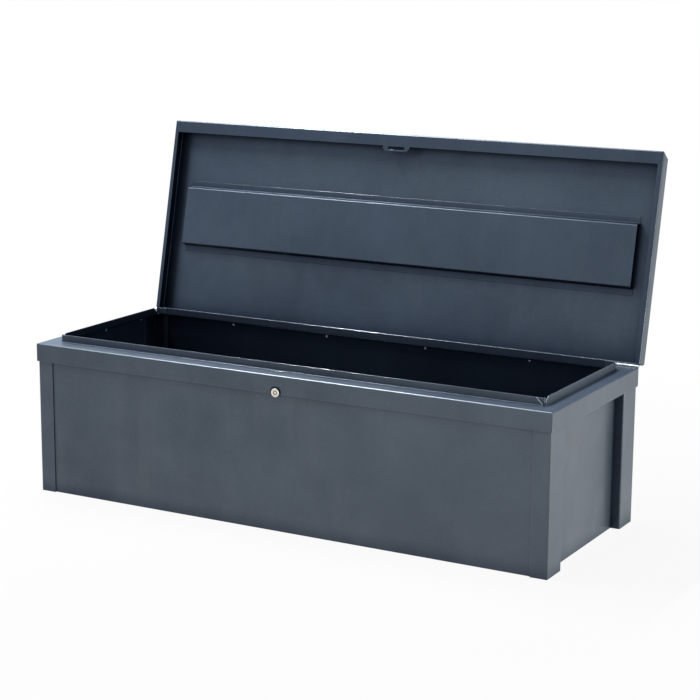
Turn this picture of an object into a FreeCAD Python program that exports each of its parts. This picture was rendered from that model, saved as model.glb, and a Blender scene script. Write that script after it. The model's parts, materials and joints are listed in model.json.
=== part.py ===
import FreeCAD, Part
import math
import os

from FreeCAD import Vector

# Steel storage chest with a hinged lid and a hook lock.
# Millimetres and degrees. Origin on the ground at the middle of the chest,
# X to the right, Y to the back, Z up. The lid is drawn shut and then turned open.

# Top frame
rim_width = 1200.0  # over the skirts, left to right
rim_depth = 441.0  # over the skirts, front to back
rim_height = 326.5  # ground to the flat top of the frame
frame_sheet = 1.5
frame_bend = 1.5  # inside radius of the bends
skirt_height = 38.5
front_flange = 40.5  # skirt's outer face to the front lip
side_flange = 34.0
rear_flange = 34.0
lip_height = 15.5
lip_end_gap = 2.5  # corner to the lip's end, at its foot
lip_end_run = 15.0  # how far the sloping end runs back
frame_corner_radius = 2.0

# Corner posts
skirt_overhang = 3.0  # skirt's outer face beyond the posts
post_sheet = 2.0
post_bend = 1.0
post_front_leg = 36.0
post_side_leg = 66.0
post_rear_leg = 40.0
post_lap = 10.0  # strip behind the edge of a recessed panel

# Panels
panel_sheet = 1.2
panel_bend = 1.5
panel_recess = 19.0  # post's outer face to a side or rear panel
front_panel_return = 18.0  # top edge turned in under the frame
floor_sheet = 1.5
floor_bend = 1.5
floor_edge_height = 25.0

# Corner gussets behind the lips
gusset_leg = 24.0  # along the front or rear lip
gusset_side_leg = 6.0  # along the side lip
gusset_sheet = 1.5
gusset_drop = 0.6  # lip's top to the gusset's top

# Angles between the recessed panels and the frame, with their rivets
angle_leg = 16.0
angle_foot = 14.0
angle_sheet = 1.5
angle_bend = 1.5
angle_rivet_drop = 8.0  # frame's top to the rivets
rear_rivet_margin = 230.4  # post's outer face to the end rivet
rear_rivet_count = 4
side_rivet_margin = 81.5
side_rivet_count = 3

# Lid
lid_gap = 1.2  # frame's top to the lid's flanges when shut
lid_depth = 32.0
lid_sheet = 1.2
lid_bend = 1.8
lid_side_inset = 1.0  # skirt's outer face to the lid's side
lid_front_inset = 0.0
lid_front_slope = 13.4  # how far the front leans back over the lid's depth
lid_front_flange = 28.0
lid_side_flange = 9.8
lid_open_angle = 102.5  # from shut to the open stop

# Rib inside the lid
stiffener_end_gap = 44.0  # lid's side to the rib's end
stiffener_offset = 3.0  # ahead of the middle of the lid
stiffener_width = 163.3
stiffener_face = 127.3
stiffener_web_run = 4.3
stiffener_height = 17.0
stiffener_sheet = 1.0
stiffener_bend = 1.5

# Continuous hinge outside the rear skirts
hinge_end_gap = 1.5  # skirt's outer face to the hinge's end
hinge_sheet = 1.2
hinge_pin_diameter = 3.6
hinge_knuckle = 12.0
hinge_leaf_height = 24.0  # pin's axis to the leaf's edge
hinge_rivet_drop = 15.0  # pin's axis to the rivets
hinge_rivet_margin = 58.5  # hinge's end to the end rivet
hinge_rivet_count = 11

# Lock and its hook
lock_offset = 0.0  # lock's axis from the middle of the chest
lock_drop = 35.0  # frame's top to the lock's axis
lock_head_diameter = 18.4
lock_head_proud = 2.5  # head's face in front of the skirt
lock_body_diameter = 16.0
lock_body_flats = 14.0
lock_notch_diameter = 26.0
lock_nut_width = 21.0
lock_nut_height = 5.0
plug_diameter = 11.6
plug_collar_diameter = 13.4
plug_collar_length = 2.5
plug_recess = 0.3
keyway_diameter = 9.6
keyway_pin_diameter = 5.4
keyway_depth = 7.0
keyway_notch = 1.6
stud_width = 7.6
cam_setback = 32.5  # skirt's outer face to the middle of the hook
cam_sheet = 2.5
cam_hub_radius = 10.0
cam_tip_radius = 47.5
cam_hook_thickness = 6.0
cam_arm_back = 12.0  # axis to the back edge of the arm
cam_arm_front = 3.0  # axis to the edge below the hook
cam_hook_reach = 15.0  # axis to the point of the hook
cam_turn = 90.0
screw_diameter = 5.0
screw_length = 12.0
screw_head_diameter = 9.0
screw_head_height = 3.0
washer_diameter = 13.0
washer_sheet = 1.0

# Slot in the frame and slotted tab on the lid, from the lock's axis
slot_left = 36.7
slot_right = 5.2
slot_width = 6.6
tab_left = 48.0
tab_right = 17.3
tab_reach = 11.6
tab_chamfer = 7.0
catch_left = 35.9
catch_right = 5.2
catch_width = 7.0

# Rivets
rivet_diameter = 3.2
rivet_head_diameter = 6.0
rivet_head_height = 1.6
rivet_tail_diameter = 5.0
rivet_tail_height = 1.5

# Clearances
edge_gap = 0.5  # cut edge beside a face or the end of a bend
fit_gap = 0.05  # radial gap of a turning or threaded fit
pin_gap = 0.08  # radial gap of the hinge pin
hole_gap = 0.1  # radial gap of a rivet's hole
turning_gap = 0.3  # between faces that move past each other
knuckle_gap = 0.4  # between the ends of two knuckles
ground_gap = 0.8  # panels' cut edges above the ground

# Values worked out from the sizes above
half_width = rim_width / 2
half_depth = rim_depth / 2
post_x = half_width - skirt_overhang
post_y = half_depth - skirt_overhang
flange_under = rim_height - frame_sheet
side_panel_x = post_x - panel_recess
rear_panel_y = post_y - panel_recess
front_panel_y = -post_y + post_sheet
front_lip_y = -half_depth + front_flange
rear_lip_y = half_depth - rear_flange
side_lip_x = half_width - side_flange
knuckle_radius = hinge_pin_diameter / 2 + pin_gap + hinge_sheet
hinge_y = half_depth + knuckle_radius
hinge_z = rim_height + lid_gap
lid_half_width = half_width - lid_side_inset
lid_front_y = -half_depth + lid_front_inset
lid_top = hinge_z + lid_depth
lid_under = lid_top - lid_sheet
lid_rear_relief = knuckle_radius + edge_gap
hinge_half = half_width - hinge_end_gap
stiffener_half = lid_half_width - stiffener_end_gap
lock_x = lock_offset
lock_z = rim_height - lock_drop
lock_face_y = -half_depth - lock_head_proud
cam_y = -half_depth + cam_setback
cam_front_y = cam_y - cam_sheet / 2
cam_rear_y = cam_y + cam_sheet / 2
lock_rear_y = cam_front_y - turning_gap
x_axis = Vector(1, 0, 0)
y_axis = Vector(0, 1, 0)
z_axis = Vector(0, 0, 1)


def rounded_wire(points, radii, origin, across, up):
    # Closed outline in the plane of across and up; a radius of 0 leaves a corner sharp.
    count = len(points)
    corners = [origin + across * point[0] + up * point[1] for point in points]
    starts = []
    ends = []
    middles = []
    for i in range(count):
        corner = corners[i]
        before = (corners[i - 1] - corner).normalize()
        after = (corners[(i + 1) % count] - corner).normalize()
        if radii[i] == 0:
            starts.append(corner)
            ends.append(corner)
            middles.append(None)
            continue
        half_angle = before.getAngle(after) / 2
        reach = radii[i] / math.tan(half_angle)
        centre = corner + (before + after).normalize() * (radii[i] / math.sin(half_angle))
        starts.append(corner + before * reach)
        ends.append(corner + after * reach)
        middles.append(centre + (corner - centre).normalize() * radii[i])
    edges = []
    for i in range(count):
        if middles[i] is not None:
            edges.append(Part.Arc(starts[i], middles[i], ends[i]).toShape())
        following = starts[(i + 1) % count]
        if ends[i].distanceToPoint(following) > 1e-6:
            edges.append(Part.LineSegment(ends[i], following).toShape())
    return Part.Wire(edges)


def sheet_section(path, sheet, bend):
    # Outline of a folded sheet: its path is one face, and the sheet lies to the left of it.
    last = len(path) - 1
    lefts = []
    for i in range(last):
        run = path[i + 1][0] - path[i][0]
        rise = path[i + 1][1] - path[i][1]
        length = math.hypot(run, rise)
        lefts.append((-rise / length, run / length))
    offset = []
    path_radii = []
    offset_radii = []
    for i in range(last + 1):
        first = lefts[max(i - 1, 0)]
        second = lefts[min(i, last - 1)]
        share = sheet / (1 + first[0] * second[0] + first[1] * second[1])
        offset.append((path[i][0] + (first[0] + second[0]) * share, path[i][1] + (first[1] + second[1]) * share))
        turn = first[0] * second[1] - first[1] * second[0]
        if i in (0, last):
            path_radii.append(0)
            offset_radii.append(0)
        elif turn > 0:
            path_radii.append(bend + sheet)
            offset_radii.append(bend)
        else:
            path_radii.append(bend)
            offset_radii.append(bend + sheet)
    return path + offset[::-1], path_radii + offset_radii[::-1]


def folded_sheet(path, sheet, bend, origin, across, up, length):
    # Folded sheet with a steady section, drawn out along across x up.
    points, radii = sheet_section(path, sheet, bend)
    face = Part.Face(rounded_wire(points, radii, origin, across, up))
    return face.extrude(length)


def prism(points, origin, across, up, length):
    return Part.Face(rounded_wire(points, [0] * len(points), origin, across, up)).extrude(length)


def block(low, high):
    size = high - low
    return Part.makeBox(size.x, size.y, size.z, low)


def rod(radius, start, end):
    return Part.makeCylinder(radius, start.distanceToPoint(end), start, end - start)


def mirrored(shape, direction):
    return shape.mirror(Vector(0, 0, 0), direction)


def even_places(count, end):
    # Places from -end to end, evenly spaced.
    return [end * (2 * i / (count - 1) - 1) for i in range(count)]


def rivet(place, outward, grip):
    # Domed head on the outward side of place, shank through the grip, flat tail behind it.
    head_radius = rivet_head_diameter / 2
    shank_radius = rivet_diameter / 2
    tail_radius = rivet_tail_diameter / 2
    dome_x = head_radius * math.cos(math.pi / 4)
    dome_z = rivet_head_height * math.sin(math.pi / 4)
    tail_end = -grip - rivet_tail_height
    dome = Part.Arc(Vector(0, 0, rivet_head_height), Vector(dome_x, 0, dome_z), Vector(head_radius, 0, 0))
    outline = [
        Vector(head_radius, 0, 0),
        Vector(shank_radius, 0, 0),
        Vector(shank_radius, 0, -grip),
        Vector(tail_radius, 0, -grip),
        Vector(tail_radius, 0, tail_end),
        Vector(0, 0, tail_end),
        Vector(0, 0, rivet_head_height),
    ]
    wire = Part.Wire([dome.toShape()] + Part.makePolygon(outline).Edges)
    shape = Part.Face(wire).revolve(Vector(0, 0, 0), z_axis, 360)
    shape.Placement = FreeCAD.Placement(place, FreeCAD.Rotation(z_axis, outward))
    return shape


def rivet_hole(place, outward, grip):
    return rod(rivet_diameter / 2 + hole_gap, place + outward, place - outward * (grip + 1))


def rear_angle_places():
    height = rim_height - angle_rivet_drop
    inside = rear_panel_y - panel_sheet
    return [Vector(x, inside, height) for x in even_places(rear_rivet_count, post_x - rear_rivet_margin)]


def side_angle_places():
    height = rim_height - angle_rivet_drop
    inside = side_panel_x - panel_sheet
    return [Vector(inside, y, height) for y in even_places(side_rivet_count, post_y - side_rivet_margin)]


def front_panel():
    half = post_x - post_sheet - post_bend - edge_gap
    top = flange_under
    path = [
        (front_panel_y + front_panel_return, top),
        (front_panel_y, top),
        (front_panel_y, ground_gap),
    ]
    shape = folded_sheet(path, panel_sheet, panel_bend, Vector(-half, 0, 0), y_axis, z_axis, x_axis * 2 * half)
    radius = lock_body_diameter / 2 + hole_gap
    hole = rod(radius, Vector(lock_x, front_panel_y - 1, lock_z), Vector(lock_x, front_panel_y + 5, lock_z))
    flat = lock_body_flats / 2 + hole_gap
    sides = block(
        Vector(lock_x - flat, front_panel_y - 2, lock_z - radius - 1),
        Vector(lock_x + flat, front_panel_y + 6, lock_z + radius + 1),
    )
    return shape.cut(hole.common(sides))


def rear_panel():
    half = post_x - post_rear_leg - post_bend - edge_gap
    low = Vector(-half, rear_panel_y - panel_sheet, ground_gap)
    shape = block(low, Vector(half, rear_panel_y, flange_under))
    return shape.cut([rivet_hole(place, -y_axis, panel_sheet) for place in rear_angle_places()])


def right_side_panel():
    half = post_y - post_side_leg - post_bend - edge_gap
    low = Vector(side_panel_x - panel_sheet, -half, ground_gap)
    shape = block(low, Vector(side_panel_x, half, flange_under))
    return shape.cut([rivet_hole(place, -x_axis, panel_sheet) for place in side_angle_places()])


def front_right_post():
    inner_x = side_panel_x - panel_sheet
    path = [
        (post_x - post_front_leg, -post_y),
        (post_x, -post_y),
        (post_x, -post_y + post_side_leg),
        (inner_x, -post_y + post_side_leg),
        (inner_x, -post_y + post_side_leg + post_lap),
    ]
    return folded_sheet(path, post_sheet, post_bend, Vector(0, 0, 0), x_axis, y_axis, z_axis * flange_under)


def rear_right_post():
    inner_x = side_panel_x - panel_sheet
    inner_y = rear_panel_y - panel_sheet
    path = [
        (inner_x, post_y - post_side_leg - post_lap),
        (inner_x, post_y - post_side_leg),
        (post_x, post_y - post_side_leg),
        (post_x, post_y),
        (post_x - post_rear_leg, post_y),
        (post_x - post_rear_leg, inner_y),
        (post_x - post_rear_leg - post_lap, inner_y),
    ]
    return folded_sheet(path, post_sheet, post_bend, Vector(0, 0, 0), x_axis, y_axis, z_axis * flange_under)


def floor_outline():
    # Right half of the floor, from the front to the back, round the insides of the posts.
    front_y = front_panel_y + panel_sheet
    rear_y = rear_panel_y - panel_sheet
    side_x = side_panel_x - panel_sheet
    pocket_x = post_x - post_sheet - edge_gap
    lap_x = side_x - post_sheet - edge_gap
    front_return_y = -post_y + post_side_leg - post_sheet - edge_gap
    front_lap_y = -post_y + post_side_leg + post_lap + edge_gap
    rear_pocket_y = post_y - post_sheet - edge_gap
    rear_return_x = post_x - post_rear_leg + post_sheet + edge_gap
    rear_lap_x = post_x - post_rear_leg - post_lap - edge_gap
    rear_lap_y = rear_y - post_sheet - edge_gap
    return [
        (pocket_x, front_y),
        (pocket_x, front_return_y),
        (lap_x, front_return_y),
        (lap_x, front_lap_y),
        (side_x, front_lap_y),
        (side_x, -front_lap_y),
        (lap_x, -front_lap_y),
        (lap_x, -front_return_y),
        (pocket_x, -front_return_y),
        (pocket_x, rear_pocket_y),
        (rear_return_x, rear_pocket_y),
        (rear_return_x, rear_lap_y),
        (rear_lap_x, rear_lap_y),
        (rear_lap_x, rear_y),
    ]


def floor_edge(start, end, inward):
    # Upturned edge whose outer face stands on the line from start to end.
    reach = 4 * floor_sheet + floor_bend
    path = [(0, floor_edge_height), (0, 0), (reach, 0)]
    return folded_sheet(path, floor_sheet, floor_bend, start, inward, z_axis, end - start)


def floor_panel():
    right = floor_outline()
    left = [(-x, y) for x, y in reversed(right)]
    plate = prism(right + left, Vector(0, 0, 0), x_axis, y_axis, z_axis * floor_sheet)
    front_y = right[0][1]
    rear_y = right[-1][1]
    side_x = right[4][0]
    side_y = right[5][1]
    front_x = post_x - post_front_leg
    rear_x = right[-1][0]
    runs = [
        (Vector(-front_x, front_y, 0), Vector(front_x, front_y, 0), y_axis),
        (Vector(rear_x, rear_y, 0), Vector(-rear_x, rear_y, 0), -y_axis),
        (Vector(side_x, -side_y, 0), Vector(side_x, side_y, 0), -x_axis),
        (Vector(-side_x, side_y, 0), Vector(-side_x, -side_y, 0), x_axis),
    ]
    bend_zone = floor_sheet + floor_bend
    strips = []
    edges = []
    for start, end, inward in runs:
        corner = end + inward * bend_zone + z_axis * floor_sheet
        low = Vector(min(start.x, corner.x), min(start.y, corner.y), 0)
        high = Vector(max(start.x, corner.x), max(start.y, corner.y), floor_sheet)
        strips.append(block(low, high))
        edges.append(floor_edge(start, end, inward))
    return plate.cut(strips).fuse(edges).removeSplitter()


def frame_side(outer_middle, inward, along, half_length, flange, start_flange, end_flange):
    # One side of the frame: skirt, flange and lip, with the lip's ends sloped and the corners mitred.
    path = [
        (flange, rim_height + lip_height),
        (flange, rim_height),
        (0, rim_height),
        (0, rim_height - skirt_height),
    ]
    origin = outer_middle - along * half_length
    strip = folded_sheet(path, frame_sheet, frame_bend, origin, inward, z_axis, along * 2 * half_length)
    above = rim_height + lip_height + 1
    trims = []
    for direction, corner_flange in ((-1, start_flange), (1, end_flange)):
        foot = half_length - corner_flange - lip_end_gap
        top = foot - lip_end_run
        slope = lip_end_run / lip_height
        points = [
            (direction * foot, rim_height),
            (direction * (top - slope), above),
            (direction * (half_length + 1), above),
            (direction * (half_length + 1), rim_height),
        ]
        trims.append(prism(points, outer_middle, along, z_axis, inward * (flange + lip_height)))
    strip = strip.cut(trims)
    stretch = 1 + lip_height / min(flange, start_flange, end_flange)
    mitre = [
        (-half_length, 0),
        (half_length, 0),
        (half_length - end_flange * stretch, flange * stretch),
        (-half_length + start_flange * stretch, flange * stretch),
    ]
    return strip.common(prism(mitre, outer_middle, along, inward, z_axis * (above + 1)))


def rounded_plan(half_x, half_y, radius, bottom, top):
    points = [(-half_x, -half_y), (half_x, -half_y), (half_x, half_y), (-half_x, half_y)]
    wire = rounded_wire(points, [radius] * 4, Vector(0, 0, bottom), x_axis, y_axis)
    return Part.Face(wire).extrude(z_axis * (top - bottom))


def flange_slot(left, right, width, middle_y, bottom, top):
    # Round-ended slot along X, its ends given from the lock's axis.
    half = width / 2
    points = [
        (lock_x - left, middle_y - half),
        (lock_x + right, middle_y - half),
        (lock_x + right, middle_y + half),
        (lock_x - left, middle_y + half),
    ]
    radius = half - hole_gap
    wire = rounded_wire(points, [radius] * 4, Vector(0, 0, bottom), x_axis, y_axis)
    return Part.Face(wire).extrude(z_axis * (top - bottom))


def top_frame():
    front = frame_side(
        Vector(0, -half_depth, 0), y_axis, x_axis, half_width, front_flange, side_flange, side_flange)
    rear = frame_side(
        Vector(0, half_depth, 0), -y_axis, -x_axis, half_width, rear_flange, side_flange, side_flange)
    right = frame_side(
        Vector(half_width, 0, 0), -x_axis, y_axis, half_depth, side_flange, front_flange, rear_flange)
    left = frame_side(
        Vector(-half_width, 0, 0), x_axis, -y_axis, half_depth, side_flange, rear_flange, front_flange)
    shape = front.fuse([rear, right, left]).removeSplitter()
    bottom = rim_height - skirt_height - 1
    top = rim_height + lip_height + 1
    shape = shape.common(rounded_plan(half_width, half_depth, frame_corner_radius, bottom, top))
    notch_radius = lock_notch_diameter / 2
    behind = -half_depth + frame_sheet + frame_bend
    notch = rod(notch_radius, Vector(lock_x, -half_depth - 1, lock_z), Vector(lock_x, behind, lock_z))
    mouth = block(
        Vector(lock_x - notch_radius, -half_depth - 1, bottom),
        Vector(lock_x + notch_radius, behind, lock_z),
    )
    slot = flange_slot(slot_left, slot_right, slot_width, cam_y, flange_under - 1, rim_height + 1)
    holes = [rivet_hole(place, y_axis, frame_sheet + hinge_sheet) for place in lower_hinge_places()]
    return shape.cut([notch, mouth, slot] + holes)


def front_right_gusset():
    corner_x = side_lip_x - frame_sheet
    corner_y = front_lip_y + frame_sheet
    return corner_gusset([
        (corner_x - gusset_leg, corner_y),
        (corner_x, corner_y),
        (corner_x, corner_y + gusset_side_leg),
    ])


def rear_right_gusset():
    corner_x = side_lip_x - frame_sheet
    corner_y = rear_lip_y - frame_sheet
    return corner_gusset([
        (corner_x, corner_y - gusset_side_leg),
        (corner_x, corner_y),
        (corner_x - gusset_leg, corner_y),
    ])


def corner_gusset(path):
    bottom = rim_height + frame_bend
    height = lip_height - frame_bend - gusset_drop
    origin = Vector(0, 0, bottom)
    return folded_sheet(path, gusset_sheet, frame_bend, origin, x_axis, y_axis, z_axis * height)


def frame_angle(origin, outward, along, half_length, places):
    # Angle with one leg on the outer face of a recessed panel and the other under the flange.
    path = [(0, flange_under - angle_leg), (0, flange_under), (angle_foot, flange_under)]
    start = origin - along * half_length
    shape = folded_sheet(path[::-1], angle_sheet, angle_bend, start, outward, z_axis, along * 2 * half_length)
    return shape.cut([rivet_hole(place, -outward, panel_sheet + angle_sheet) for place in places])


def rear_frame_angle():
    half = post_x - post_rear_leg - edge_gap
    return frame_angle(Vector(0, rear_panel_y, 0), y_axis, x_axis, half, rear_angle_places())


def right_frame_angle():
    half = post_y - post_side_leg - edge_gap
    return frame_angle(Vector(side_panel_x, 0, 0), x_axis, y_axis, half, side_angle_places())


def frame_rivets():
    grip = panel_sheet + angle_sheet
    rear = [rivet(place, -y_axis, grip) for place in rear_angle_places()]
    right = [rivet(place, -x_axis, grip) for place in side_angle_places()]
    left = [mirrored(shape, x_axis) for shape in right]
    return Part.makeCompound(rear + right + left)


def lid_solid(inset, radius):
    # Closed body of the lid, drawn shut: a box with a sloping front, shrunk by inset.
    slope_length = math.hypot(lid_front_slope, lid_depth)
    front_shift = inset * slope_length / lid_depth
    slope = lid_front_slope / lid_depth
    bottom = hinge_z + inset
    top = lid_top - inset
    front_bottom = lid_front_y + inset * slope + front_shift
    front_top = lid_front_y + lid_front_slope - inset * slope + front_shift
    rear = half_depth - inset
    half = lid_half_width - inset
    points = [(front_bottom, bottom), (rear, bottom), (rear, top), (front_top, top)]
    shape = prism(points, Vector(-half, 0, 0), y_axis, z_axis, x_axis * 2 * half)
    rounded = []
    for edge in shape.Edges:
        middle = edge.CenterOfMass
        if abs(middle.y - rear) > 1e-3 or abs(middle.z - bottom) > 1e-3:
            rounded.append(edge)
    return shape.makeFillet(radius, rounded)


def catch_tab_outline():
    # Tab on the lid's front flange, with its two outer corners cut off.
    foot = lid_front_y + lid_front_flange
    tip = foot + tab_reach
    return [
        (lock_x - tab_left, foot - 1),
        (lock_x + tab_right, foot - 1),
        (lock_x + tab_right, tip - tab_chamfer),
        (lock_x + tab_right - tab_chamfer, tip),
        (lock_x - tab_left + tab_chamfer, tip),
        (lock_x - tab_left, tip - tab_chamfer),
    ]


def lid_panel_shut():
    shell = lid_solid(0, lid_bend + lid_sheet).cut(lid_solid(lid_sheet, lid_bend))
    bottom = hinge_z - 1
    through = lid_sheet + 1 + edge_gap
    opening = block(
        Vector(-lid_half_width + lid_side_flange, lid_front_y + lid_front_flange, bottom),
        Vector(lid_half_width - lid_side_flange, half_depth - lid_sheet, bottom + through),
    )
    tab = prism(catch_tab_outline(), Vector(0, 0, bottom - 1), x_axis, y_axis, z_axis * (through + 2))
    relief = block(
        Vector(-half_width, half_depth - lid_sheet - lid_bend, bottom),
        Vector(half_width, half_depth + 1, hinge_z + lid_rear_relief),
    )
    slot = flange_slot(catch_left, catch_right, catch_width, cam_y, bottom, bottom + through)
    holes = [rivet_hole(place, y_axis, lid_sheet + hinge_sheet) for place in upper_hinge_places()]
    return shell.cut([opening.cut(tab), relief, slot] + holes)


def lid_stiffener_shut():
    middle = (hinge_y + lid_front_y) / 2 - stiffener_offset
    outer = stiffener_width / 2
    face = stiffener_face / 2
    root = face + stiffener_web_run
    low = lid_under - stiffener_height
    path = [
        (middle - outer, lid_under),
        (middle - root, lid_under),
        (middle - face, low + stiffener_sheet),
        (middle + face, low + stiffener_sheet),
        (middle + root, lid_under),
        (middle + outer, lid_under),
    ]
    origin = Vector(-stiffener_half, 0, 0)
    length = x_axis * 2 * stiffener_half
    return folded_sheet(path[::-1], stiffener_sheet, stiffener_bend, origin, y_axis, z_axis, length)


def lower_hinge_places():
    places = even_places(hinge_rivet_count, hinge_half - hinge_rivet_margin)
    outer = half_depth + hinge_sheet
    return [Vector(x, outer, hinge_z - hinge_rivet_drop) for x in places]


def upper_hinge_places():
    places = even_places(hinge_rivet_count, hinge_half - hinge_rivet_margin)
    outer = half_depth + hinge_sheet
    return [Vector(x, outer, hinge_z + hinge_rivet_drop) for x in places]


def hinge_leaf(upward, first_knuckle, places):
    # Plate against the rear skirt with every second knuckle rolled round the pin.
    start = -hinge_half
    relief = knuckle_radius + turning_gap
    outer_y = half_depth + hinge_sheet
    near = hinge_z + upward * relief
    far = hinge_z + upward * hinge_leaf_height
    plate = block(
        Vector(start, half_depth, min(near, far)),
        Vector(-start, outer_y, max(near, far)),
    )
    count = int(2 * hinge_half // hinge_knuckle)
    pitch = 2 * hinge_half / count
    knuckles = []
    for i in range(first_knuckle, count, 2):
        left = start + i * pitch + knuckle_gap / 2
        right = start + (i + 1) * pitch - knuckle_gap / 2
        roll = rod(knuckle_radius, Vector(left, hinge_y, hinge_z), Vector(right, hinge_y, hinge_z))
        neck = block(
            Vector(left, half_depth, min(hinge_z, near)),
            Vector(right, outer_y, max(hinge_z, near)),
        )
        knuckles.append(roll.fuse(neck))
    shape = plate.fuse(knuckles).removeSplitter()
    bore_radius = hinge_pin_diameter / 2 + pin_gap
    bore = rod(bore_radius, Vector(start - 1, hinge_y, hinge_z), Vector(1 - start, hinge_y, hinge_z))
    return shape.cut([bore] + [rivet_hole(place, y_axis, hinge_sheet) for place in places])


def hinge_pin():
    start = Vector(-hinge_half, hinge_y, hinge_z)
    shape = rod(hinge_pin_diameter / 2, start, Vector(hinge_half, hinge_y, hinge_z))
    ends = [edge for edge in shape.Edges if abs(abs(edge.CenterOfMass.x) - hinge_half) < 1e-3]
    return shape.makeChamfer(hinge_pin_diameter / 8, ends)


def hinge_rivets(places, sheet):
    return Part.makeCompound([rivet(place, y_axis, hinge_sheet + sheet) for place in places])


def lock_axis_point(y):
    return Vector(lock_x, y, lock_z)


def lock_rod(diameter, start_y, end_y):
    return rod(diameter / 2, lock_axis_point(start_y), lock_axis_point(end_y))


def lock_block(half_x, half_z, start_y, end_y):
    return block(
        Vector(lock_x - half_x, start_y, lock_z - half_z),
        Vector(lock_x + half_x, end_y, lock_z + half_z),
    )


def lock_body():
    head = lock_rod(lock_head_diameter, lock_face_y, front_panel_y)
    rim = [edge for edge in head.Edges if abs(edge.CenterOfMass.y - lock_face_y) < 1e-3]
    head = head.makeFillet(lock_head_proud / 3, rim)
    barrel = lock_rod(lock_body_diameter, front_panel_y - 1, lock_rear_y)
    flats = lock_block(lock_body_flats / 2, lock_body_diameter, front_panel_y - 1, lock_rear_y + 1)
    bore = lock_rod(plug_diameter + 2 * fit_gap, lock_face_y - 1, lock_rear_y + 1)
    collar_end = lock_face_y + plug_recess + plug_collar_length + fit_gap
    seat = lock_rod(plug_collar_diameter + 2 * fit_gap, lock_face_y - 1, collar_end)
    return head.fuse(barrel.common(flats)).cut([bore, seat])


def lock_nut():
    start = front_panel_y + panel_sheet
    radius = lock_nut_width / math.sqrt(3)
    points = [(radius * math.cos(i * math.pi / 3), radius * math.sin(i * math.pi / 3)) for i in range(6)]
    hexagon = prism(points, lock_axis_point(start), x_axis, z_axis, y_axis * lock_nut_height)
    return hexagon.cut(lock_rod(lock_body_diameter + 2 * fit_gap, start - 1, start + lock_nut_height + 1))


def lock_plug():
    front = lock_face_y + plug_recess
    collar = lock_rod(plug_collar_diameter, front, front + plug_collar_length)
    barrel = lock_rod(plug_diameter, front, cam_front_y)
    half = stud_width / 2
    stud = lock_block(half, half, cam_front_y - 1, cam_rear_y - hole_gap)
    shape = collar.fuse([barrel, stud]).removeSplitter()
    ring = lock_rod(keyway_diameter, front - 1, front + keyway_depth)
    ring = ring.cut(lock_rod(keyway_pin_diameter, front - 2, front + keyway_depth + 1))
    notch_reach = (keyway_diameter + keyway_notch) / 2
    notch = block(
        Vector(lock_x - keyway_notch / 2, front - 1, lock_z + keyway_pin_diameter / 2 + hole_gap),
        Vector(lock_x + keyway_notch / 2, front + keyway_depth, lock_z + notch_reach),
    )
    thread = lock_rod(screw_diameter + 2 * fit_gap, cam_rear_y - screw_length, cam_rear_y + 1)
    return shape.cut([ring, notch, thread])


def lock_cam():
    # Hook drawn upright, as it stands when locked, and then turned back to point left.
    inner_radius = cam_tip_radius - cam_hook_thickness
    front = lock_axis_point(cam_front_y)
    hub = lock_rod(2 * cam_hub_radius, cam_front_y, cam_rear_y)
    disc = lock_rod(2 * cam_tip_radius, cam_front_y, cam_rear_y)
    core = lock_rod(2 * inner_radius, cam_front_y, cam_rear_y)
    arm = block(front - x_axis * cam_arm_back, front + Vector(cam_arm_front, cam_sheet, cam_tip_radius))
    reach = block(
        front - x_axis * cam_arm_back + z_axis * inner_radius / 2,
        front + Vector(cam_hook_reach, cam_sheet, cam_tip_radius),
    )
    hook = reach.common(disc.cut(core))
    shape = hub.fuse([arm.common(disc), hook]).removeSplitter()
    half = stud_width / 2 + fit_gap
    shape = shape.cut(lock_block(half, half, cam_front_y - 1, cam_rear_y + 1))
    shape.rotate(lock_axis_point(0), y_axis, -cam_turn)
    return shape


def cam_washer():
    disc = lock_rod(washer_diameter, cam_rear_y, cam_rear_y + washer_sheet)
    return disc.cut(lock_rod(screw_diameter + 2 * hole_gap, cam_rear_y - 1, cam_rear_y + washer_sheet + 1))


def cam_screw():
    seat = cam_rear_y + washer_sheet
    shank = lock_rod(screw_diameter, seat - screw_length, seat + 1)
    head = lock_rod(screw_head_diameter, seat, seat + screw_head_height)
    rim = [edge for edge in head.Edges if abs(edge.CenterOfMass.y - seat - screw_head_height) < 1e-3]
    head = head.makeFillet(screw_head_height / 3, rim)
    bar = block(
        Vector(lock_x - screw_head_diameter, seat + screw_head_height / 2, lock_z - screw_head_height / 6),
        Vector(lock_x + screw_head_diameter, seat + screw_head_height + 1, lock_z + screw_head_height / 6),
    )
    return shank.fuse(head).removeSplitter().cut(bar)


def opened(shape):
    # Turns a piece of the lid from shut to the open stop.
    turned = shape.copy()
    turned.rotate(Vector(0, hinge_y, hinge_z), x_axis, -lid_open_angle)
    return turned


def save(name, shape):
    solids = shape.Solids
    sound = all(solid.isValid() for solid in solids)
    print(name, len(solids), "solids", round(shape.Volume / 1000, 2), "cm3", "ok" if sound else "NOT VALID")
    kept = solids[0] if len(solids) == 1 else Part.makeCompound(solids)
    kept.exportStep("parts/" + name + ".step")


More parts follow.
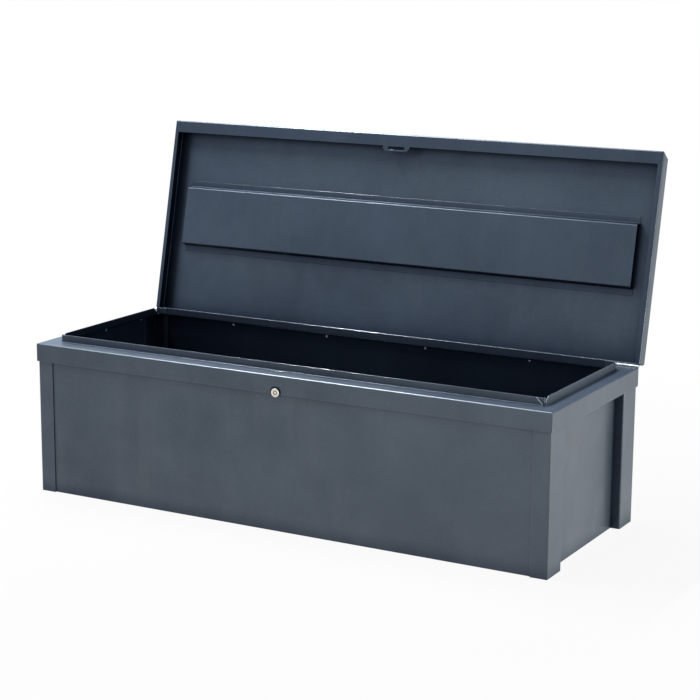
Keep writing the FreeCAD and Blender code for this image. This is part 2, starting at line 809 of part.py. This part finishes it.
def save_chest():
    right_panel = right_side_panel()
    right_angle = right_frame_angle()
    save("front_panel", front_panel())
    save("rear_panel", rear_panel())
    save("right_side_panel", right_panel)
    save("left_side_panel", mirrored(right_panel, x_axis))
    save("floor_panel", floor_panel())
    for end, post, gusset in (
        ("front", front_right_post(), front_right_gusset()),
        ("rear", rear_right_post(), rear_right_gusset()),
    ):
        save(end + "_right_post", post)
        save(end + "_left_post", mirrored(post, x_axis))
        save(end + "_right_gusset", gusset)
        save(end + "_left_gusset", mirrored(gusset, x_axis))
    save("top_frame", top_frame())
    save("rear_frame_angle", rear_frame_angle())
    save("right_frame_angle", right_angle)
    save("left_frame_angle", mirrored(right_angle, x_axis))
    save("frame_rivets", frame_rivets())
    save("hinge_lower_leaf", hinge_leaf(-1, 0, lower_hinge_places()))
    save("hinge_lower_rivets", hinge_rivets(lower_hinge_places(), frame_sheet))
    save("hinge_pin", hinge_pin())
    save("lock_body", lock_body())
    save("lock_nut", lock_nut())


def save_lid():
    save("lid_panel", opened(lid_panel_shut()))
    save("lid_stiffener", opened(lid_stiffener_shut()))
    save("hinge_upper_leaf", opened(hinge_leaf(1, 1, upper_hinge_places())))
    save("hinge_upper_rivets", opened(hinge_rivets(upper_hinge_places(), lid_sheet)))


def save_lock_barrel():
    save("lock_plug", lock_plug())
    save("lock_cam", lock_cam())
    save("cam_washer", cam_washer())
    save("cam_screw", cam_screw())


os.makedirs("parts", exist_ok=True)
save_chest()
save_lid()
save_lock_barrel()
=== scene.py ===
import json
import math
import bpy
import numpy as np
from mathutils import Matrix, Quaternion, Vector


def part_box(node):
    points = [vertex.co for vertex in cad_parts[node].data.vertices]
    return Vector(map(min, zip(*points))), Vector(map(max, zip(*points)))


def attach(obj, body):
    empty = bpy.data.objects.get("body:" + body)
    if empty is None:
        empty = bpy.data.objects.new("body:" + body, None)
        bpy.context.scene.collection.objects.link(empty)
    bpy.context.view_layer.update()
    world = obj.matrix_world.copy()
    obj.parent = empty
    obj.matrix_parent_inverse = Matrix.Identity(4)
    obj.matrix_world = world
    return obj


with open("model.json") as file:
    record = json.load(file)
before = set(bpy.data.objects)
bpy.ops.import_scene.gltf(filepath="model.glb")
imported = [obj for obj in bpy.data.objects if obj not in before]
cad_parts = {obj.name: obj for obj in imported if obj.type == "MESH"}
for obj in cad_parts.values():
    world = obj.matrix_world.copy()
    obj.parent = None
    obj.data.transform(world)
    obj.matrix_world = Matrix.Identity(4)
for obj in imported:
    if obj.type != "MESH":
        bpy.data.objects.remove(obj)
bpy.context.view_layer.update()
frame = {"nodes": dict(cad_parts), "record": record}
nodes = frame["nodes"]
print("frame loaded:", len(nodes), "nodes")

# Finishes. Colours are linear red, green and blue.
paintSpec = {
    "deep": (0.007, 0.015, 0.031),
    "pale": (0.041, 0.056, 0.085),
    "dust": (0.075, 0.082, 0.085),
    # Pale colour on the bends and sheet edges: edge wear, and also a painted highlight that brightens the bends;
    # the fine specks use it too.
    "edge": (0.300, 0.335, 0.375),
    "gloss": 0.90,
    "glossTint": (0.82, 0.93, 1.0),
    "roughness": 0.36,
    "roughnessSpread": 0.10,
    "mottleScale": 11.0,
    "mottleDetail": 5.0,
    "mottleBand": (0.30, 0.70),
    "cloudScale": 2.6,
    "cloudBand": (0.34, 0.66),
    "mottleShare": 0.5,
    "satinBand": (0.2, 0.8),
    "streakScale": (26.0, 26.0, 2.4),
    "streakBand": (0.50, 0.80),
    "streakShare": 0.20,
    "speckScale": 420.0,
    "speckBand": (0.60, 0.80),
    "speckShare": 0.20,
    "fineDetail": 2.0,
    "peelScale": 700.0,
    "peelHeight": 0.00004,
    "sagScale": 3.0,
    "sagDetail": 1.0,
    "sagHeight": 0.0012,
    "edgeTurn": (0.985, 0.85),
    "edgeWear": 0.6,
    "edgeRoughness": 0.15,
    # The dark colour of the painted shade in corners, in the depth of the chest and on the lid's flanges, also
    # used for the haze's random dulling; the reaches below set where that painted shade falls.
    "hollow": (0.005, 0.009, 0.022),
    "hollowRoughness": 0.60,
    "cornerReach": 0.035,
    "deepCorner": 0.25,
    "depthReach": 0.60,
    "mouthDepth": 0.012,
    "hazeScale": 4.4,
    "hazeDetail": 4.0,
    "hazeBand": (0.40, 0.60),
    "roughNoise": 0.6,
}
# How dull and dark the coat is on each kind of sheet, from 0 to 1: random dulling in the haze's clouds, and
# painted shade all over a sheet (a darker copy), in corners, in the depth of the chest and on the flanges round
# the lid's mouth. The bends' width is in metres.
coatSpecs = {
    "body": {"even": 0.0, "haze": 0.12, "corner": 0.72, "depth": 0.0, "mouth": 0.0, "bend": 0.0013},
    "frame": {"even": 0.0, "haze": 0.12, "corner": 0.22, "depth": 0.38, "mouth": 0.0, "bend": 0.0013},
    "rear": {"even": 0.0, "haze": 0.12, "corner": 0.72, "depth": 0.82, "mouth": 0.0, "bend": 0.0013},
    "lid": {"even": 0.03, "haze": 0.18, "corner": 0.42, "depth": 0.70, "mouth": 0.38, "bend": 0.0007},
    "rib": {"even": 0.24, "haze": 0.12, "corner": 0.60, "depth": 0.66, "mouth": 0.0, "bend": 0.0013},
}
zincSpec = {
    "deep": (0.30, 0.31, 0.33),
    "pale": (0.50, 0.51, 0.52),
    "roughness": (0.24, 0.40),
    "colourBand": (0.35, 0.65),
    "roughnessBand": (0.3, 0.7),
    "spangleScale": 160.0,
    "grainScale": 900.0,
    "grainDetail": 2.0,
    "grainHeight": 0.00003,
}
chromeSpec = {
    "pale": (0.80, 0.77, 0.71),
    "deep": (0.56, 0.53, 0.47),
    "roughness": (0.10, 0.22),
    "colourBand": (0.35, 0.65),
    "roughnessBand": (0.3, 0.7),
    "cloudScale": 150.0,
    "turnedScale": 1500.0,
    "turnedDetail": 2.0,
    "turnedHeight": 0.00002,
}


def newMaterial(name):
    material = bpy.data.materials.new(name)
    material.use_nodes = True
    tree = material.node_tree
    shader = tree.nodes["Principled BSDF"]
    return material, tree, shader


def addNode(tree, kind, **settings):
    node = tree.nodes.new(kind)
    for key, value in settings.items():
        setattr(node, key, value)
    return node


def noiseField(tree, coordinates, scale, detail=3.0, roughness=0.55):
    field = addNode(tree, "ShaderNodeTexNoise")
    field.inputs["Scale"].default_value = scale
    field.inputs["Detail"].default_value = detail
    field.inputs["Roughness"].default_value = roughness
    tree.links.new(coordinates, field.inputs["Vector"])
    return field.outputs["Fac"]


def remap(tree, value, fromLow, fromHigh, toLow, toHigh):
    node = addNode(tree, "ShaderNodeMapRange", clamp=True)
    tree.links.new(value, node.inputs["Value"])
    for socket, number in zip(("From Min", "From Max", "To Min", "To Max"), (fromLow, fromHigh, toLow, toHigh)):
        node.inputs[socket].default_value = number
    return node.outputs["Result"]


def mixColours(tree, share, first, second):
    node = addNode(tree, "ShaderNodeMix", data_type="RGBA")
    tree.links.new(share, node.inputs[0])
    for socket, colour in ((6, first), (7, second)):
        if isinstance(colour, tuple):
            node.inputs[socket].default_value = (*colour, 1.0)
        else:
            tree.links.new(colour, node.inputs[socket])
    return node.outputs[2]


def mixNumbers(tree, share, first, second):
    node = addNode(tree, "ShaderNodeMix", data_type="FLOAT")
    for socket, value in ((0, share), (2, first), (3, second)):
        if isinstance(value, float):
            node.inputs[socket].default_value = value
        else:
            tree.links.new(value, node.inputs[socket])
    return node.outputs[0]


def bumpFrom(tree, height, distance, normal=None):
    node = addNode(tree, "ShaderNodeBump")
    node.inputs["Strength"].default_value = 1.0
    node.inputs["Distance"].default_value = distance
    tree.links.new(height, node.inputs["Height"])
    if normal is not None:
        tree.links.new(normal, node.inputs["Normal"])
    return node.outputs["Normal"]


def roundedEdges(tree, width):
    # A normal that turns over a bend or a sheet's edge, and how far it departs from the flat one: 0 to 1.
    bevel = addNode(tree, "ShaderNodeBevel", samples=6)
    bevel.inputs["Radius"].default_value = width
    geometry = addNode(tree, "ShaderNodeNewGeometry")
    dot = addNode(tree, "ShaderNodeVectorMath", operation="DOT_PRODUCT")
    tree.links.new(bevel.outputs["Normal"], dot.inputs[0])
    tree.links.new(geometry.outputs["True Normal"], dot.inputs[1])
    return bevel.outputs["Normal"], remap(tree, dot.outputs["Value"], *paintSpec["edgeTurn"], 0.0, 1.0)


def sheltered(tree, reach):
    # How sheltered a place is within reach: 0 in the open, 1 in a deep corner; the mask for painted shade.
    shelter = addNode(tree, "ShaderNodeAmbientOcclusion", samples=8)
    shelter.inputs["Distance"].default_value = reach
    return remap(tree, shelter.outputs["AO"], 1.0, paintSpec["deepCorner"], 0.0, 1.0)


def multiply(tree, first, second):
    node = addNode(tree, "ShaderNodeMath", operation="MULTIPLY")
    tree.links.new(first, node.inputs[0])
    tree.links.new(second, node.inputs[1])
    return node.outputs[0]


def mouthShare(tree, place):
    # 1 on the flanges round the lid's mouth and 0 on the rest of the lid, from the distance to the mouth's plane:
    # where painted shade darkens the lid's flanges.
    joint = frame["record"]["behaviour"]["joints"][0]
    opening = math.radians(joint["range_deg"][1])
    offset = addNode(tree, "ShaderNodeVectorMath", operation="SUBTRACT")
    offset.inputs[1].default_value = joint["pos_m"]
    tree.links.new(place, offset.inputs[0])
    height = addNode(tree, "ShaderNodeVectorMath", operation="DOT_PRODUCT")
    height.inputs[1].default_value = (0.0, math.sin(opening), math.cos(opening))
    tree.links.new(offset.outputs[0], height.inputs[0])
    deep = paintSpec["mouthDepth"]
    return remap(tree, height.outputs["Value"], deep / 2, deep, 1.0, 0.0)


def powderCoat(kind):
    # Satin powder coat on thin sheet: slow clouds, mottling, faint upright rub marks, fine specks,
    # orange peel, a slow waviness of the sheet, a paler colour on the bends that is edge wear and also a painted
    # highlight,
    # and painted shade: a dark colour that also dulls the gloss, in corners, in the depth of the chest, on the
    # lid's mouth flanges and evenly over some sheets.
    spec, coat = paintSpec, coatSpecs[kind]
    material, tree, shader = newMaterial(kind + "PowderCoat")
    place = addNode(tree, "ShaderNodeTexCoord").outputs["Object"]
    stretch = addNode(tree, "ShaderNodeMapping")
    stretch.inputs["Scale"].default_value = spec["streakScale"]
    tree.links.new(place, stretch.inputs["Vector"])
    mottle = noiseField(tree, place, spec["mottleScale"], spec["mottleDetail"], spec["roughNoise"])
    cloud = noiseField(tree, place, spec["cloudScale"])
    streak = noiseField(tree, stretch.outputs["Vector"], 1.0)
    speck = noiseField(tree, place, spec["speckScale"], spec["fineDetail"])
    peel = noiseField(tree, place, spec["peelScale"], spec["fineDetail"])
    sag = noiseField(tree, place, spec["sagScale"], spec["sagDetail"])
    mottled = remap(tree, mottle, *spec["mottleBand"], 0.0, 1.0)
    clouded = remap(tree, cloud, *spec["cloudBand"], 0.0, 1.0)
    blend = mixNumbers(tree, spec["mottleShare"], mottled, clouded)
    base = mixColours(tree, blend, spec["deep"], spec["pale"])
    rubbed = remap(tree, streak, *spec["streakBand"], 0.0, spec["streakShare"])
    dusty = mixColours(tree, rubbed, base, spec["dust"])
    specked = remap(tree, speck, *spec["speckBand"], 0.0, spec["speckShare"])
    flecked = mixColours(tree, specked, dusty, spec["edge"])
    turned, edge = roundedEdges(tree, coat["bend"])
    # Paler bends and edges: edge wear and a painted highlight.
    worn = mixColours(tree, remap(tree, edge, 0.0, 1.0, 0.0, spec["edgeWear"]), flecked, spec["edge"])
    haze = noiseField(tree, place, spec["hazeScale"], spec["hazeDetail"], spec["roughNoise"])
    # Painted shade: ambient occlusion darkens corners and the depth of the chest, the mouth mask darkens the
    # lid's flanges, and an even share darkens whole sheets; the haze's clouds add random dulling.
    corner = sheltered(tree, spec["cornerReach"])
    clear = 1.0 - coat["even"]
    shine = remap(tree, haze, *spec["hazeBand"], clear, clear * (1.0 - coat["haze"]))
    shine = multiply(tree, shine, remap(tree, corner, 0.0, 1.0, 1.0, 1.0 - coat["corner"]))
    if coat["depth"] > 0:
        depth = sheltered(tree, spec["depthReach"])
        shine = multiply(tree, shine, remap(tree, depth, 0.0, 1.0, 1.0, 1.0 - coat["depth"]))
    if coat["mouth"] > 0:
        mouth = mouthShare(tree, place)
        shine = multiply(tree, shine, remap(tree, mouth, 0.0, 1.0, 1.0, 1.0 - coat["mouth"]))
    dull = remap(tree, shine, 0.0, 1.0, 1.0, 0.0)
    # The painted shade and haze share darkens the base colour and, as metallic over that dark colour, kills the
    # gloss as well.
    tree.links.new(mixColours(tree, dull, worn, spec["hollow"]), shader.inputs["Base Color"])
    tree.links.new(dull, shader.inputs["Metallic"])
    shader.inputs["Specular IOR Level"].default_value = spec["gloss"]
    shader.inputs["Specular Tint"].default_value = (*spec["glossTint"], 1.0)
    low = spec["roughness"] - spec["roughnessSpread"] / 2
    high = spec["roughness"] + spec["roughnessSpread"] / 2
    satin = remap(tree, blend, *spec["satinBand"], high, low)
    bent = mixNumbers(tree, edge, satin, spec["edgeRoughness"])
    rough = mixNumbers(tree, remap(tree, corner, 0.0, 1.0, 0.0, coat["corner"]), bent, spec["hollowRoughness"])
    tree.links.new(rough, shader.inputs["Roughness"])
    wavy = bumpFrom(tree, sag, spec["sagHeight"], turned)
    tree.links.new(bumpFrom(tree, peel, spec["peelHeight"], wavy), shader.inputs["Normal"])
    return material


def zincPlate():
    spec = zincSpec
    material, tree, shader = newMaterial("zincPlate")
    place = addNode(tree, "ShaderNodeTexCoord").outputs["Object"]
    spangle = noiseField(tree, place, spec["spangleScale"])
    grain = noiseField(tree, place, spec["grainScale"], spec["grainDetail"])
    colour = mixColours(tree, remap(tree, spangle, *spec["colourBand"], 0.0, 1.0), spec["deep"], spec["pale"])
    tree.links.new(colour, shader.inputs["Base Color"])
    shader.inputs["Metallic"].default_value = 1.0
    rough = remap(tree, spangle, *spec["roughnessBand"], *spec["roughness"])
    tree.links.new(rough, shader.inputs["Roughness"])
    tree.links.new(bumpFrom(tree, grain, spec["grainHeight"]), shader.inputs["Normal"])
    return material


def brightPlate():
    spec = chromeSpec
    material, tree, shader = newMaterial("brightPlate")
    place = addNode(tree, "ShaderNodeTexCoord").outputs["Object"]
    cloud = noiseField(tree, place, spec["cloudScale"])
    grain = noiseField(tree, place, spec["turnedScale"], spec["turnedDetail"])
    colour = mixColours(tree, remap(tree, cloud, *spec["colourBand"], 0.0, 1.0), spec["pale"], spec["deep"])
    tree.links.new(colour, shader.inputs["Base Color"])
    shader.inputs["Metallic"].default_value = 1.0
    rough = remap(tree, cloud, *spec["roughnessBand"], *spec["roughness"])
    tree.links.new(rough, shader.inputs["Roughness"])
    tree.links.new(bumpFrom(tree, grain, spec["turnedHeight"]), shader.inputs["Normal"])
    return material


finishes = {
    "painted_steel": powderCoat("body"),
    "zinc_plate": zincPlate(),
    "chrome_lock": brightPlate(),
}
# Copies of the same powder coat for the frame, rear panel, lid and rib, differing in how much painted shade they
# carry.
ownFinishes = {
    "top_frame": powderCoat("frame"),
    "rear_panel": powderCoat("rear"),
    "lid_panel": powderCoat("lid"),
    "lid_stiffener": powderCoat("rib"),
}


def finishNodes():
    for part in frame["record"]["subparts"]:
        node = nodes[part["node"]]
        node.data.materials.clear()
        node.data.materials.append(ownFinishes.get(part["node"], finishes[part["material_slot"]]))


finishNodes()
print("finishes on the sheet metal")

# Weld seams between the sloping right ends of the long lips and the corner gussets, in metres; their pale
# bare-metal colour is also a painted highlight along these ends.
seamSpec = {
    "radius": 0.0009,
    "lipSheet": 0.0015,
    "cornerGap": 0.0010,
    "endRun": 0.0150,
    "start": 0.10,
    "end": 0.97,
    "ripples": 11.0,
    "rippleHeight": 0.14,
    "rippleSkew": 0.6,
    "taper": 12.0,
    "endShare": 0.995,
    "rings": 90,
    "around": 18,
    "pale": (0.52, 0.54, 0.57),
    "deep": (0.26, 0.29, 0.33),
    "colourBand": (0.35, 0.65),
    "roughness": (0.22, 0.42),
    "roughnessBand": (0.3, 0.7),
    "metallic": 0.5,
    "grainScale": 1400.0,
    "grainHeight": 0.00002,
}


def weldMetal():
    # Pale bare weld metal, also a painted highlight along the lips' right ends.
    spec = seamSpec
    material, tree, shader = newMaterial("weldMetal")
    place = addNode(tree, "ShaderNodeTexCoord").outputs["Object"]
    grain = noiseField(tree, place, spec["grainScale"])
    colour = mixColours(tree, remap(tree, grain, *spec["colourBand"], 0.0, 1.0), spec["deep"], spec["pale"])
    tree.links.new(colour, shader.inputs["Base Color"])
    shader.inputs["Metallic"].default_value = spec["metallic"]
    rough = remap(tree, grain, *spec["roughnessBand"], *spec["roughness"])
    tree.links.new(rough, shader.inputs["Roughness"])
    tree.links.new(bumpFrom(tree, grain, spec["grainHeight"]), shader.inputs["Normal"])
    return material


def tubeMesh(name, rings):
    # rings is an array of rings x around x 3. Faces join each ring to the next, and the two ends are closed.
    count, around = rings.shape[:2]
    index = np.arange(count * around).reshape(count, around)
    following = np.roll(index, -1, axis=1)
    sides = np.stack((index[:-1], following[:-1], following[1:], index[1:]), axis=-1).reshape(-1, 4)
    faces = sides.tolist() + [index[0][::-1].tolist(), index[-1].tolist()]
    mesh = bpy.data.meshes.new(name)
    mesh.from_pydata(rings.reshape(-1, 3).tolist(), [], faces)
    mesh.validate()
    mesh.shade_smooth()
    return mesh


def seamRings(foot, top):
    # The seam's centre runs evenly from foot to top. Its radius is the seam's own, times the square root
    # of one less a high power of the distance from the middle, times one and a little of a rounded wave.
    spec = seamSpec
    share = np.linspace(spec["start"], spec["end"], spec["rings"])[:, None]
    angle = np.linspace(0.0, 2 * np.pi, spec["around"], endpoint=False)[None, :]
    middle = np.linspace(-spec["endShare"], spec["endShare"], spec["rings"])[:, None]
    wave = np.abs(np.sin(np.pi * spec["ripples"] * share + spec["rippleSkew"] * np.cos(angle)))
    radius = spec["radius"] * np.sqrt(1 - middle ** spec["taper"]) * (1 + spec["rippleHeight"] * wave)
    along = (top - foot) / np.linalg.norm(top - foot)
    across = np.array((0.0, 1.0, 0.0))
    outward = np.cross(across, along)
    centre = foot + share[..., None] * (top - foot)
    ring = np.cos(angle)[..., None] * outward + np.sin(angle)[..., None] * across
    return centre + radius[..., None] * ring


def makeSeams():
    spec = seamSpec
    material = weldMetal()
    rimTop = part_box("top_frame")[1][2]
    for end, sideY in (("front", -1.0), ("rear", 1.0)):
        low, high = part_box(end + "_right_gusset")
        y = (high[1] if sideY > 0 else low[1]) + sideY * spec["lipSheet"] / 2
        foot = np.array((high[0] - spec["cornerGap"], y, low[2] - spec["lipSheet"]))
        top = np.array((foot[0] - spec["endRun"], y, rimTop))
        mesh = tubeMesh(end + "RightSeam", seamRings(foot, top))
        mesh.materials.append(material)
        seam = bpy.data.objects.new(mesh.name, mesh)
        bpy.context.scene.collection.objects.link(seam)
        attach(seam, "chest_body")


makeSeams()
print("corner seams welded")

# Floor, backdrop and light
stageSpec = {
    "floorHalf": 60.0,
    "floorColour": (0.34, 0.34, 0.34),
    "floorRoughness": 0.9,
    "floorGloss": 0.1,
    "nearGlow": 0.93,
    "nearReach": 0.9,
    "farReach": 1.7,
    "worldLight": 0.13,
    "worldColour": (0.74, 0.86, 1.0),
    "overheadPower": 40.0,
    "overheadSize": (1.2, 0.6),
    "overheadPlace": (-0.3, 0.50, 3.2),
    "overheadAim": (0.0, 0.0, 0.3),
    "overheadColour": (0.90, 0.95, 1.0),
    "glintPower": 295.0,
    "glintSize": (3.0, 0.10),
    "glintPlace": (-1.6, 0.08, 3.2),
    "glintAim": (0.0, 0.0, 0.3),
    "glintColour": (1.0, 1.0, 1.0),
    "sidePower": 70.0,
    "sideSize": (2.0, 0.26),
    "sidePlace": (3.2, 1.0, 0.15),
    "sideAim": (0.6, 0.0, 0.15),
    "sideColour": (1.0, 1.0, 0.90),
    "frontPower": 14.0,
    "frontSize": (2.6, 0.26),
    "frontPlace": (0.0, -3.4, 0.15),
    "frontAim": (0.0, -0.2, 0.2),
    "frontColour": (1.0, 0.99, 0.95),
}


def seenShare(tree):
    # 1 for a ray from the camera, in a reflection or through glass, and 0 for one that carries light.
    path = addNode(tree, "ShaderNodeLightPath")
    first = addNode(tree, "ShaderNodeMath", operation="MAXIMUM")
    second = addNode(tree, "ShaderNodeMath", operation="MAXIMUM")
    tree.links.new(path.outputs["Is Camera Ray"], first.inputs[0])
    tree.links.new(path.outputs["Is Transmission Ray"], first.inputs[1])
    tree.links.new(first.outputs[0], second.inputs[0])
    tree.links.new(path.outputs["Is Glossy Ray"], second.inputs[1])
    return second.outputs[0]


def makeFloor():
    # A plain pale sheet: its own shade near the chest, and more of an even white further out.
    half = stageSpec["floorHalf"]
    mesh = bpy.data.meshes.new("floor")
    corners = [(-half, -half, 0), (half, -half, 0), (half, half, 0), (-half, half, 0)]
    mesh.from_pydata(corners, [], [(0, 1, 2, 3)])
    floor = bpy.data.objects.new("floor", mesh)
    bpy.context.scene.collection.objects.link(floor)
    material, tree, shader = newMaterial("paleFloor")
    shader.inputs["Base Color"].default_value = (*stageSpec["floorColour"], 1.0)
    shader.inputs["Roughness"].default_value = stageSpec["floorRoughness"]
    shader.inputs["Specular IOR Level"].default_value = stageSpec["floorGloss"]
    place = addNode(tree, "ShaderNodeTexCoord").outputs["Object"]
    reach = addNode(tree, "ShaderNodeVectorMath", operation="LENGTH")
    tree.links.new(place, reach.inputs[0])
    near, far = stageSpec["nearReach"], stageSpec["farReach"]
    evenness = remap(tree, reach.outputs["Value"], near, far, stageSpec["nearGlow"], 1.0)
    glow = addNode(tree, "ShaderNodeEmission")
    mix = addNode(tree, "ShaderNodeMixShader")
    share = addNode(tree, "ShaderNodeMath", operation="MULTIPLY")
    tree.links.new(seenShare(tree), share.inputs[0])
    tree.links.new(evenness, share.inputs[1])
    tree.links.new(share.outputs[0], mix.inputs[0])
    tree.links.new(shader.outputs[0], mix.inputs[1])
    tree.links.new(glow.outputs[0], mix.inputs[2])
    tree.links.new(mix.outputs[0], tree.nodes["Material Output"].inputs["Surface"])
    mesh.materials.append(material)


def makeWorld():
    world = bpy.data.worlds.new("studio")
    world.use_nodes = True
    tree = world.node_tree
    background = tree.nodes["Background"]
    share = seenShare(tree)
    path = addNode(tree, "ShaderNodeLightPath")
    colour = mixColours(tree, path.outputs["Is Camera Ray"], stageSpec["worldColour"], (1.0, 1.0, 1.0))
    tree.links.new(colour, background.inputs["Color"])
    tree.links.new(remap(tree, share, 0.0, 1.0, stageSpec["worldLight"], 1.0), background.inputs["Strength"])
    bpy.context.scene.world = world


def makeLamp(name):
    lamp = bpy.data.lights.new(name, "AREA")
    lamp.shape = "RECTANGLE"
    lamp.size, lamp.size_y = stageSpec[name + "Size"]
    lamp.energy = stageSpec[name + "Power"]
    lamp.color = stageSpec[name + "Colour"]
    holder = bpy.data.objects.new(name, lamp)
    place, aim = Vector(stageSpec[name + "Place"]), Vector(stageSpec[name + "Aim"])
    holder.location = place
    holder.rotation_mode = "QUATERNION"
    holder.rotation_quaternion = (aim - place).to_track_quat("-Z", "Y")
    holder.visible_camera = False
    bpy.context.scene.collection.objects.link(holder)


cameraSpec = {
    "place": (1.97398, -3.45303, 1.20155),
    "target": (0.04699, 0.0, 0.34283),
    "lens": 100.08,
    "sensor": 36.0,
    "roll": 0.37,
}


def makeCamera():
    lens = bpy.data.cameras.new("camera")
    lens.lens = cameraSpec["lens"]
    lens.sensor_width = cameraSpec["sensor"]
    holder = bpy.data.objects.new("camera", lens)
    place = Vector(cameraSpec["place"])
    facing = (Vector(cameraSpec["target"]) - place).to_track_quat("-Z", "Y")
    roll = Quaternion((0.0, 0.0, 1.0), math.radians(cameraSpec["roll"]))
    holder.location = place
    holder.rotation_mode = "QUATERNION"
    holder.rotation_quaternion = facing @ roll
    bpy.context.scene.collection.objects.link(holder)
    bpy.context.scene.camera = holder


makeFloor()
makeWorld()
for lampName in ("overhead", "glint", "side", "front"):
    makeLamp(lampName)
makeCamera()
bpy.context.scene.view_settings.view_transform = "Standard"
print("stage set")
